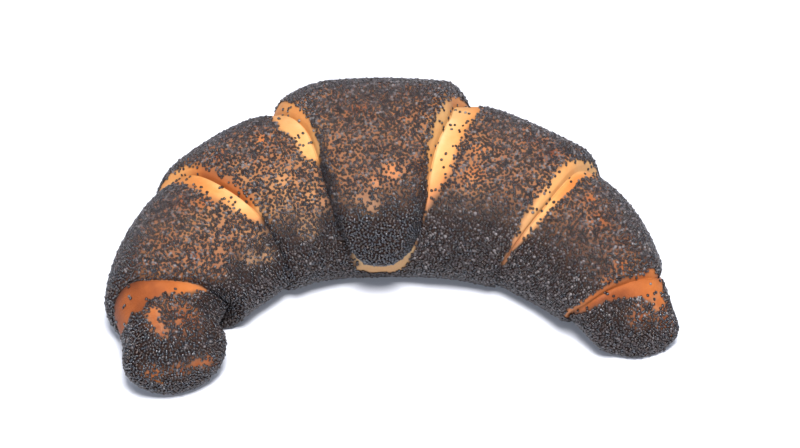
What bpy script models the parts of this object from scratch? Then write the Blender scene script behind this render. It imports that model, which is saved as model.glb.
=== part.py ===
"""Poppy seed crescent: a bread roll made from a triangle of dough, rolled up and bent.

The dough lies in wraps. The last one is a tongue over the middle, whose round tip ends low on
the front, and each earlier wrap shows a step further out, towards the horns. The roll rests on a
flat baked underside. It is one piece, with poppy seeds stuck to it.

Units are metres, +Z is up and -Y is the front, the side that the horns point to. The origin is
on the resting face, under the middle of the outline.

Two numbers name a place on the roll. Turn runs along it, from -4 at the left horn's end over 0 in
the middle to 4 at the right horn's end. Girth is an angle round it: 0 under the roll, a quarter
turn at the outer side, half a turn on top, and three quarters at the inner side.
"""

import math

import bmesh
import bpy
import numpy as np
from mathutils import Matrix, Vector

# The core under the wraps, at each whole turn from the left horn's end to the right horn's end:
# where its outer edge and its inner edge lie in plan, and its height.
TURNS = np.arange(-4.0, 5.0)
CORE = np.array(
    [
        # outer x, outer y, inner x, inner y, height
        (-0.0822, -0.0554, -0.0565, -0.0536, 0.0216),
        (-0.0832, -0.0390, -0.0513, -0.0410, 0.0268),
        (-0.0861, -0.0138, -0.0544, -0.0340, 0.0298),
        (-0.0581, 0.0304, -0.0363, -0.0137, 0.0340),
        (0.0007, 0.0454, -0.0070, -0.0069, 0.0394),
        (0.0423, 0.0350, 0.0330, -0.0101, 0.0382),
        (0.0739, 0.0080, 0.0576, -0.0309, 0.0349),
        (0.0868, -0.0240, 0.0687, -0.0369, 0.0228),
        (0.0910, -0.0313, 0.0796, -0.0380, 0.0164),
    ]
)

# The middle of the roll's outline, in the plan that the core is given in.
OUTLINE_MIDDLE = np.array([-0.0007, 0.0011])

# The oval section is cut by the floor this share of its half height above its lowest point, and
# the cut is rounded off over this height.
SUNK_SHARE = 0.16
FOOT_SOFTNESS = 0.0025

# Each horn closes over this many turns, on a blunt oval of this power.
LEFT_END_TURNS = 0.62
RIGHT_END_TURNS = 0.70
END_POWER = 2.4
LEAST_SECTION = 0.001

# The tongue's side edges, by girth. It narrows from one girth and ends at the other. Its rounded
# lip is wide and gentle at the left of the back.
TONGUE_GIRTHS = np.radians([0.0, 90.0, 140.0, 158.0, 170.0, 182.0, 225.0, 280.0, 360.0])
TONGUE_LEFT = (-0.60, -0.68, -0.60, -0.54, -0.505, -0.48, -0.37, -0.23, -0.45)
TONGUE_RIGHT = (0.64, 0.55, 0.42, 0.43, 0.42, 0.405, 0.40, 0.44, 0.48)
TONGUE_LEFT_LIP = (0.0060, 0.0150, 0.0160, 0.0130, 0.0085, 0.0055, 0.0050, 0.0050, 0.0050)
TONGUE_NARROWS = math.radians(222.0)
TONGUE_TIP = math.radians(276.5)
TONGUE_ROUNDNESS = 2.4

# Every wrap edge: the side that it faces, its turn at each of these girths (none for the tongue,
# whose outline is above), its step at the same girths, the width of its rounded lip, and the
# depth of the crease along it. The crease is narrow under the lip and wide on the stretched
# dough beyond it.
EDGE_GIRTHS = np.radians([0.0, 90.0, 135.0, 180.0, 220.0, 250.0, 270.0, 360.0])
WRAP_EDGES = {
    "tongue": {
        "side": 0,
        "step": (0.0053, 0.0062, 0.0058, 0.0046, 0.0048, 0.0047, 0.0045, 0.0040),
        "lip": 0.0050,
        "crease": 0.0016,
    },
    "left_second": {
        "side": -1,
        "turn": (-1.50, -1.42, -1.26, -1.17, -1.025, -0.96, -0.91, -1.20),
        "step": (0.0028, 0.0032, 0.0026, 0.0016, 0.0018, 0.0012, 0.0010, 0.0012),
        "lip": 0.0044,
        "crease": 0.0010,
    },
    "left_third": {
        "side": -1,
        "turn": (-2.75, -2.60, -2.36, -2.23, -1.91, -1.75, -1.64, -2.30),
        "step": (0.0019, 0.0015, 0.0014, 0.0019, 0.0024, 0.0040, 0.0045, 0.0036),
        "lip": 0.0034,
        "crease": 0.0008,
    },
    "right_second": {
        "side": 1,
        "turn": (1.66, 1.72, 1.61, 1.475, 1.295, 1.13, 1.035, 1.20),
        "step": (0.0044, 0.0054, 0.0048, 0.0030, 0.0024, 0.0008, 0.0006, 0.0012),
        "lip": 0.0042,
        "crease": 0.0006,
    },
    "right_third": {
        "side": 1,
        "turn": (2.75, 2.60, 2.75, 2.675, 2.45, 2.14, 1.91, 2.20),
        "step": (0.0018, 0.0012, 0.0014, 0.0024, 0.0020, 0.0016, 0.0015, 0.0026),
        "lip": 0.0030,
        "crease": 0.0006,
    },
}
LIP_POWER = 0.6
CREASE_WIDTH_INSIDE = 0.0018
CREASE_WIDTH_BEYOND = 0.0055

# Slow unevenness of hand-rolled dough: waves of this height, with cycles by turn and by girth.
UNEVENNESS = 0.00028
UNEVEN_WAVES = (
    # cycles per turn, cycles round the girth, phase
    (0.41, 1, 0.4),
    (0.62, -2, 2.1),
    (0.83, 3, 4.0),
    (0.29, -1, 5.2),
)

# The mesh: cells along each stretch between wrap edges, and cells between these girths.
CELLS_ALONG = (9, 10, 10, 12, 10, 10, 9)
EDGE_CROWDING = 0.13
END_CROWDING = 1.5
TONGUE_GUIDE = 0.35
GIRTH_STOPS = (0.0, 30.0, 54.0, 225.0, 262.0, 292.0, 330.0, 360.0)
GIRTH_CELLS = (2, 3, 18, 5, 7, 4, 2)

# Poppy seeds: length, width and thickness, how far apart and how deep they sit, and how far they
# stay from each wrap edge, inside it and on the bare strip of stretched dough beyond it.
SEED_SIZE = (0.00145, 0.00115, 0.00095)
SEED_SPACING = 0.0094
SEED_SUNK_SHARE = 0.50
SEED_TRIES = 6000
SEED_LEAST_HEIGHT = 0.0035
SEED_END_CLEARANCE = 0.08
LIP_CLEARANCE = 0.0028
BARE_STRIP = 0.0070
DRAW = 7

# The crust's look, and the angle past which an edge is drawn sharp.
CRUST_COLOUR = (0.13, 0.085, 0.06, 1.0)
CRUST_ROUGHNESS = 0.6
SHARP_ANGLE = math.radians(50.0)

# Small steps of turn and girth for slopes, and the least values that keep divisions safe.
NUDGE = 1e-3
LEAST_STRETCH = 1e-12
LEAST_AREA_SHARE = 1e-3
LEAST_SLOPE = 1e-9


def natural_spline(stops, values, at):
    """A natural cubic spline through values at stops, read at each place of at."""
    stops, values = np.asarray(stops, float), np.asarray(values, float)
    gaps = np.diff(stops)
    system = np.eye(len(stops))
    known = np.zeros(values.shape)
    for k in range(1, len(stops) - 1):
        system[k, k - 1 : k + 2] = gaps[k - 1], 2 * (gaps[k - 1] + gaps[k]), gaps[k]
        rise = (values[k + 1] - values[k]) / gaps[k]
        known[k] = 6 * (rise - (values[k] - values[k - 1]) / gaps[k - 1])
    bends = np.linalg.solve(system, known)
    k = np.clip(np.searchsorted(stops, at, side="right") - 1, 0, len(gaps) - 1)
    gap = gaps[k]
    late = (at - stops[k]) / gap
    if values.ndim > 1:
        gap, late = gap[..., None], late[..., None]
    early = 1 - late
    curve = (early**3 - early) * bends[k] + (late**3 - late) * bends[k + 1]
    return early * values[k] + late * values[k + 1] + curve * gap**2 / 6


def end_taper(turn):
    """The share of the full section that is left near the horns' ends."""
    shares = []
    ends = ((turn - TURNS[0], LEFT_END_TURNS), (TURNS[-1] - turn, RIGHT_END_TURNS))
    for distance, span in ends:
        closed = np.clip(1 - distance / span, 0, 1)
        shares.append((1 - closed**END_POWER) ** (1 / END_POWER))
    return np.maximum(shares[0] * shares[1], LEAST_SECTION)


def rest_on_floor(height):
    """Heights cut off flat at the floor, with the corner of the cut rounded."""
    corner = (height + FOOT_SOFTNESS) ** 2 / (4 * FOOT_SOFTNESS)
    return np.where(height < -FOOT_SOFTNESS, 0, np.where(height < FOOT_SOFTNESS, corner, height))


def place(turn, girth, proud=0.0):
    """The point at a turn and a girth, proud of the core by that much."""
    core = natural_spline(TURNS, CORE, turn)
    outer, inner = core[..., 0:2], core[..., 2:4]
    half_height = core[..., 4] / (2 - SUNK_SHARE)
    half_width = np.hypot(*np.moveaxis(outer - inner, -1, 0)) / 2
    outwards = (outer - inner) / (2 * half_width[..., None])
    taper = end_taper(turn)
    slope_across = np.sin(girth) / half_width
    slope_up = -np.cos(girth) / half_height
    steepness = np.hypot(slope_across, slope_up)
    proud = proud * np.sqrt(taper)
    across = half_width * taper * np.sin(girth) + proud * slope_across / steepness
    height = half_height * (1 - SUNK_SHARE - taper * np.cos(girth))
    height = height + proud * slope_up / steepness
    plan = (outer + inner) / 2 + outwards * across[..., None] - OUTLINE_MIDDLE
    return np.concatenate([plan, rest_on_floor(height)[..., None]], -1)


def tongue_sides(girth):
    """The turns of the tongue's left and right edge, before it narrows."""
    left = natural_spline(TONGUE_GIRTHS, TONGUE_LEFT, girth)
    right = natural_spline(TONGUE_GIRTHS, TONGUE_RIGHT, girth)
    return left, right


def lip_width(name, turn, girth):
    """The width of a wrap edge's rounded lip."""
    if name != "tongue":
        return WRAP_EDGES[name]["lip"]
    left, right = tongue_sides(girth)
    left_lip = natural_spline(TONGUE_GIRTHS, TONGUE_LEFT_LIP, girth)
    return np.where(turn < (left + right) / 2, left_lip, WRAP_EDGES[name]["lip"])


def narrowing(girth):
    """0 where the tongue starts to narrow and 1 at its tip."""
    return np.clip((girth - TONGUE_NARROWS) / (TONGUE_TIP - TONGUE_NARROWS), 0, None)


def edge_turn(name, girth):
    """The turn of a wrap edge that runs all the way round."""
    return natural_spline(EDGE_GIRTHS, WRAP_EDGES[name]["turn"], girth)


def beyond(name, turn, girth):
    """A measure of how far a place lies past a wrap edge, in turns: 0 on it, over 0 outside."""
    edge = WRAP_EDGES[name]
    if edge["side"]:
        return edge["side"] * (turn - edge_turn(name, girth))
    left, right = tongue_sides(girth)
    middle, half = (left + right) / 2, (right - left) / 2
    power = TONGUE_ROUNDNESS
    oval = (np.abs(turn - middle) / half) ** power + narrowing(girth) ** power
    return half * (oval ** (1 / power) - 1)


def slopes(function, turn, girth):
    """How fast a function of turn and girth changes with each of them."""
    by_turn = function(turn + NUDGE, girth) - function(turn - NUDGE, girth)
    by_girth = function(turn, girth + NUDGE) - function(turn, girth - NUDGE)
    return by_turn / (2 * NUDGE), by_girth / (2 * NUDGE)


def stretch_of(turn, girth):
    """How the core stretches turn and girth: the three products of its two tangents."""
    along, around = slopes(place, turn, girth)
    along_squared = (along**2).sum(-1) + LEAST_STRETCH
    around_squared = (around**2).sum(-1) + LEAST_STRETCH
    return along_squared, (along * around).sum(-1), around_squared


def distance_past(name, turn, girth, stretch):
    """The distance on the surface past a wrap edge, in metres, and less than 0 inside it."""
    by_turn, by_girth = slopes(lambda t, g: beyond(name, t, g), turn, girth)
    along, shear, around = stretch
    area = np.maximum(along * around - shear**2, LEAST_AREA_SHARE * along * around)
    slope = (around * by_turn**2 - 2 * shear * by_turn * by_girth + along * by_girth**2) / area
    return beyond(name, turn, girth) / np.sqrt(slope + LEAST_SLOPE)


def lip(depth_inside, width):
    """The rounded edge of a wrap: 0 at the edge and 1 once it lies flat."""
    short = np.clip(1 - depth_inside / width, 0, 1)
    return np.where(depth_inside <= 0, 0, (1 - short**2) ** LIP_POWER)


def unevenness(turn, girth):
    """The slow rise and fall of the dough."""
    waves = 0.0
    for along, around, phase in UNEVEN_WAVES:
        waves = waves + np.sin(2 * math.pi * along * turn + around * girth + phase)
    return UNEVENNESS * waves


def wraps(turn, girth):
    """How far the wraps stand proud of the core, and the distance past each wrap edge."""
    stretch = stretch_of(turn, girth)
    proud = unevenness(turn, girth)
    past = {}
    for name, edge in WRAP_EDGES.items():
        distance = distance_past(name, turn, girth, stretch)
        step = natural_spline(EDGE_GIRTHS, edge["step"], girth)
        on_right = 1 if edge["side"] > 0 else 0
        proud += step * (lip(-distance, lip_width(name, turn, girth)) - on_right)
        width = np.where(distance < 0, CREASE_WIDTH_INSIDE, CREASE_WIDTH_BEYOND)
        proud -= edge["crease"] * np.exp(-((distance / width) ** 2))
        past[name] = distance
    return proud, past


def surface(turn, girth):
    """The roll's surface at each turn and girth."""
    return place(turn, girth, wraps(turn, girth)[0])


def girth_lines():
    """The girths of the mesh's lengthwise lines."""
    cells = np.concatenate([[0], np.cumsum(GIRTH_CELLS)])
    return np.radians(np.interp(np.arange(cells[-1]), cells, GIRTH_STOPS))


def turn_lines(girth):
    """The turns of the mesh's rings at each girth. Rings crowd to the wrap edges and follow them."""
    left, right = tongue_sides(girth)
    power = TONGUE_ROUNDNESS
    open_share = np.clip(1 - narrowing(girth) ** power, 0, 1) ** (1 / power)
    half = (right - left) / 2 * np.maximum(open_share, TONGUE_GUIDE)
    middle = (left + right) / 2
    stops = [np.full_like(girth, TURNS[0])]
    stops += [edge_turn("left_third", girth), edge_turn("left_second", girth)]
    stops += [middle - half, middle + half]
    stops += [edge_turn("right_second", girth), edge_turn("right_third", girth)]
    stops += [np.full_like(girth, TURNS[-1])]
    rings = []
    for k, cells in enumerate(CELLS_ALONG):
        share = np.arange(cells) / cells
        if k == 0:
            share = share**END_CROWDING
        elif k == len(CELLS_ALONG) - 1:
            share = 1 - (1 - share) ** END_CROWDING
        else:
            share = share - EDGE_CROWDING * np.sin(2 * math.pi * share)
        rings += [stops[k] + (stops[k + 1] - stops[k]) * s for s in share]
    return np.array(rings[1:])


def crust_mesh():
    """The closed skin of the roll: a loft of rings between the two horns' ends."""
    girth = girth_lines()
    turn = turn_lines(girth)
    points = surface(turn, np.broadcast_to(girth, turn.shape))
    mesh = bmesh.new()
    rings = [[mesh.verts.new(p) for p in ring] for ring in points.tolist()]
    count = len(girth)
    for ring, following in zip(rings[:-1], rings[1:]):
        for j in range(count):
            k = (j + 1) % count
            mesh.faces.new((ring[j], following[j], following[k], ring[k]))
    for ring, tip, turned in ((rings[0], TURNS[0], 1), (rings[-1], TURNS[-1], -1)):
        pole = mesh.verts.new(surface(np.array(tip), np.array(math.pi)))
        for j in range(count):
            pair = (ring[j], ring[(j + 1) % count])[::turned]
            mesh.faces.new((pole, *pair))
    bmesh.ops.triangulate(mesh, faces=mesh.faces[:])
    bmesh.ops.recalc_face_normals(mesh, faces=mesh.faces[:])
    return mesh


def seed_places():
    """Turn and girth of the seeds: random tries, kept where they lie well apart on seeded crust."""
    draw = np.random.default_rng(DRAW)
    turn = draw.uniform(TURNS[0] + SEED_END_CLEARANCE, TURNS[-1] - SEED_END_CLEARANCE, SEED_TRIES)
    girth = draw.uniform(0, 2 * math.pi, SEED_TRIES)
    points = surface(turn, girth)
    past = wraps(turn, girth)[1]
    seeded = points[:, 2] > SEED_LEAST_HEIGHT
    for distance in past.values():
        seeded &= (distance < -LIP_CLEARANCE) | (distance > BARE_STRIP)
    kept = []
    for k in np.flatnonzero(seeded):
        apart = np.linalg.norm(points[kept] - points[k], axis=1) if kept else np.array([1.0])
        if apart.min() > SEED_SPACING:
            kept.append(k)
    return turn[kept], girth[kept], draw.uniform(0, 2 * math.pi, len(kept))


def seed_frames():
    """Where each seed lies: on the crust, flat side down, turned any way."""
    turn, girth, spin = seed_places()
    points = surface(turn, girth)
    along, around = slopes(surface, turn, girth)
    sunk = SEED_SIZE[2] * (0.5 - SEED_SUNK_SHARE)
    frames = []
    for point, a, b, angle in zip(points, along, around, spin):
        tangent = Vector(a).normalized()
        normal = Vector(b).cross(tangent).normalized()
        turned = Matrix((tangent, normal.cross(tangent), normal)).transposed()
        spot = Vector(point) + normal * sunk
        frames.append(Matrix.Translation(spot) @ (turned @ Matrix.Rotation(angle, 3, "Z")).to_4x4())
    return frames


def seed_mesh():
    """One poppy seed as a small oval with twenty faces."""
    shape = bmesh.new()
    bmesh.ops.create_icosphere(shape, subdivisions=1, radius=0.5)
    bmesh.ops.scale(shape, vec=SEED_SIZE, verts=shape.verts[:])
    mesh = bpy.data.meshes.new("seed")
    shape.to_mesh(mesh)
    shape.free()
    return mesh


def crust_material():
    """Baked crust, dark with poppy seeds."""
    material = bpy.data.materials.new("poppy_crust")
    material.use_nodes = True
    shader = material.node_tree.nodes["Principled BSDF"]
    shader.inputs["Base Color"].default_value = CRUST_COLOUR
    shader.inputs["Roughness"].default_value = CRUST_ROUGHNESS
    shader.inputs["Metallic"].default_value = 0.0
    return material


def clear_scene():
    for obj in list(bpy.data.objects):
        bpy.data.objects.remove(obj, do_unlink=True)


def new_collection(name):
    collection = bpy.data.collections.new(name)
    bpy.context.scene.collection.children.link(collection)
    return collection


def fuse(body, collection):
    """Joins a collection's objects to the body with one union, and removes them."""
    union = body.modifiers.new("seeds", "BOOLEAN")
    union.operation = "UNION"
    union.operand_type = "COLLECTION"
    union.collection = collection
    union.solver = "MANIFOLD"
    graph = bpy.context.evaluated_depsgraph_get()
    joined = bpy.data.meshes.new_from_object(body.evaluated_get(graph))
    body.modifiers.clear()
    body.data = joined
    for obj in list(collection.objects):
        bpy.data.objects.remove(obj, do_unlink=True)
    bpy.data.collections.remove(collection)


def build():
    clear_scene()
    part = new_collection("poppy_seed_crescent")
    shape = crust_mesh()
    mesh = bpy.data.meshes.new("crescent")
    shape.to_mesh(mesh)
    shape.free()
    crescent = bpy.data.objects.new("crescent", mesh)
    part.objects.link(crescent)

    seeds = new_collection("poppy_seeds")
    one_seed = seed_mesh()
    for number, frame in enumerate(seed_frames()):
        seed = bpy.data.objects.new(f"seed_{number:03d}", one_seed)
        seed.matrix_world = frame
        seeds.objects.link(seed)
    bpy.context.view_layer.update()
    fuse(crescent, seeds)

    crescent.data.materials.clear()
    crescent.data.materials.append(crust_material())
    crescent.data.shade_smooth()
    crescent.data.set_sharp_from_angle(angle=SHARP_ANGLE)


build()
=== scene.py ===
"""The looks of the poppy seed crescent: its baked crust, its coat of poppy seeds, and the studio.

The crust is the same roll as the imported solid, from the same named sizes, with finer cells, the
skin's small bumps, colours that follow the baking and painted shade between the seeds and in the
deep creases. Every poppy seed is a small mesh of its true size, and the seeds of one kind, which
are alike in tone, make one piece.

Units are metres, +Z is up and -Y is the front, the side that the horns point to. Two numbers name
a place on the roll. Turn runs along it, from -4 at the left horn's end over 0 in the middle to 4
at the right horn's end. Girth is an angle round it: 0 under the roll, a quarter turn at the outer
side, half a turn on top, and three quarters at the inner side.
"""

import math

import bpy
import numpy as np
from mathutils import Color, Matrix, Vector


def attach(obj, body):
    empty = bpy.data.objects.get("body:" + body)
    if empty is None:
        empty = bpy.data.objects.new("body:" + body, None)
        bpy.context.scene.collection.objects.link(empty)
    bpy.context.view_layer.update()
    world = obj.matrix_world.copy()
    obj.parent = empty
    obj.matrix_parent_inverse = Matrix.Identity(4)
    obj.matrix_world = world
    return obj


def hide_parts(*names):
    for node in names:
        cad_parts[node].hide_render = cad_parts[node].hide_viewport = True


NODE = "crescent"

# A millimetre in metres, and the whole in percent.
MM = 0.001
PERCENT = 100

# The core under the wraps, at each whole turn from the left horn's end to the right horn's end:
# where its outer edge and its inner edge lie in plan, and its height.
TURNS = np.arange(-4.0, 5.0)
CORE = np.array(
    [
        # outer x, outer y, inner x, inner y, height
        (-0.0822, -0.0554, -0.0565, -0.0536, 0.0216),
        (-0.0832, -0.0390, -0.0513, -0.0410, 0.0268),
        (-0.0861, -0.0138, -0.0544, -0.0340, 0.0298),
        (-0.0581, 0.0304, -0.0363, -0.0137, 0.0340),
        (0.0007, 0.0454, -0.0070, -0.0069, 0.0394),
        (0.0423, 0.0350, 0.0330, -0.0101, 0.0382),
        (0.0739, 0.0080, 0.0576, -0.0309, 0.0349),
        (0.0868, -0.0240, 0.0687, -0.0369, 0.0228),
        (0.0910, -0.0313, 0.0796, -0.0380, 0.0164),
    ]
)

# The middle of the roll's outline, in the plan that the core is given in.
OUTLINE_MIDDLE = np.array([-0.0007, 0.0011])

# The oval section is cut by the floor this share of its half height above its lowest point, and
# the cut is rounded off over this height.
SUNK_SHARE = 0.16
FOOT_SOFTNESS = 0.0025

# Each horn closes over this many turns, on a blunt oval of this power.
LEFT_END_TURNS = 0.62
RIGHT_END_TURNS = 0.70
END_POWER = 2.4
LEAST_SECTION = 0.001

# The tongue's side edges, by girth. It narrows from one girth and ends at the other. Its rounded
# lip is wide and gentle at the left of the back.
TONGUE_GIRTHS = np.radians([0, 90, 140, 158, 170, 182, 225, 280, 360])
TONGUE_LEFT = (-0.60, -0.68, -0.60, -0.54, -0.505, -0.48, -0.37, -0.23, -0.45)
TONGUE_RIGHT = (0.64, 0.55, 0.42, 0.43, 0.42, 0.405, 0.40, 0.44, 0.48)
TONGUE_LEFT_LIP = (0.0060, 0.0150, 0.0160, 0.0130, 0.0085, 0.0055, 0.0050, 0.0050, 0.0050)
TONGUE_NARROWS = math.radians(222.0)
TONGUE_TIP = math.radians(276.5)
TONGUE_ROUNDNESS = 2.4

# Every wrap edge: the side that it faces, its turn at these girths (not for the tongue, whose
# outline is above), its step at them, the width of its rounded lip, and the depth of its crease,
# which is narrow under the lip and wide on the stretched dough beyond it.
EDGE_GIRTHS = np.radians([0, 90, 135, 180, 220, 250, 270, 360])
WRAP_EDGES = {
    "tongue": {
        "side": 0,
        "step": (0.0053, 0.0062, 0.0058, 0.0046, 0.0048, 0.0047, 0.0045, 0.0040),
        "lip": 0.0050,
        "crease": 0.0016,
    },
    "left_second": {
        "side": -1,
        "turn": (-1.50, -1.42, -1.26, -1.17, -1.025, -0.96, -0.91, -1.20),
        "step": (0.0028, 0.0032, 0.0026, 0.0016, 0.0018, 0.0012, 0.0010, 0.0012),
        "lip": 0.0044,
        "crease": 0.0010,
    },
    "left_third": {
        "side": -1,
        "turn": (-2.75, -2.60, -2.36, -2.23, -1.91, -1.75, -1.64, -2.30),
        "step": (0.0019, 0.0015, 0.0014, 0.0019, 0.0024, 0.0040, 0.0045, 0.0036),
        "lip": 0.0034,
        "crease": 0.0008,
    },
    "right_second": {
        "side": 1,
        "turn": (1.66, 1.72, 1.61, 1.475, 1.295, 1.13, 1.035, 1.20),
        "step": (0.0044, 0.0054, 0.0048, 0.0030, 0.0024, 0.0008, 0.0006, 0.0012),
        "lip": 0.0042,
        "crease": 0.0006,
    },
    "right_third": {
        "side": 1,
        "turn": (2.75, 2.60, 2.75, 2.675, 2.45, 2.14, 1.91, 2.20),
        "step": (0.0018, 0.0012, 0.0014, 0.0024, 0.0020, 0.0016, 0.0015, 0.0026),
        "lip": 0.0030,
        "crease": 0.0006,
    },
}
LIP_POWER = 0.6
CREASE_WIDTH_INSIDE = 0.0018
CREASE_WIDTH_BEYOND = 0.0055

# Slow unevenness of hand-rolled dough: waves of this height, with cycles by turn and by girth.
UNEVENNESS = 0.00028
UNEVEN_WAVES = (
    # cycles per turn, cycles round the girth, phase
    (0.41, 1, 0.4),
    (0.62, -2, 2.1),
    (0.83, 3, 4.0),
    (0.29, -1, 5.2),
)

# The crust's grid: cells along each stretch between wrap edges, how much its rings crowd to the
# edges and to the horns' ends, the least width of the rings past the tongue's tip, and cells
# between girths in degrees.
CELLS_ALONG = (62, 66, 66, 84, 66, 66, 60)
EDGE_CROWDING = 0.13
END_CROWDING = 1.5
TONGUE_GUIDE = 0.35
GIRTH_STOPS = (0, 30, 54, 225, 262, 292, 330, 360)
GIRTH_CELLS = (6, 10, 82, 28, 36, 16, 8)

# The skin's bumps: how far apart, how high, and the number that draws them.
SKIN_BUMPS = (
    (0.0042, 0.00016, 11),
    (0.0017, 0.00007, 12),
)

# The thin crack where the dough has torn along each wrap edge.
CRACK_DEPTH = 0.0008
CRACK_WIDTH = 0.00030

# The turns that the rows of the tables BAKE, COVER and TONE stand for, and the girths in degrees
# that their columns stand for. The tables are in percent.
TABLE_TURNS = (-3.6, -2, -1, 0, 1, 2, 3.4)
TABLE_GIRTHS = (100, 145, 180, 215, 240, 265)

# How far the crust is baked, from pale cream to dark brown. Then its patches: how far apart, how
# strong, and the number that draws them.
BAKE = (
    (72, 70, 62, 66, 72, 76),
    (62, 58, 50, 50, 58, 66),
    (60, 56, 46, 38, 44, 56),
    (60, 55, 44, 46, 60, 66),
    (55, 52, 46, 46, 56, 64),
    (60, 55, 50, 52, 62, 68),
    (76, 72, 68, 70, 76, 80),
)
UNDERSIDE_BAKE = 0.66
BAKE_PATCHES = ((0.0120, 0.18, 21), (0.0035, 0.18, 22), (0.0011, 0.08, 23))

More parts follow.
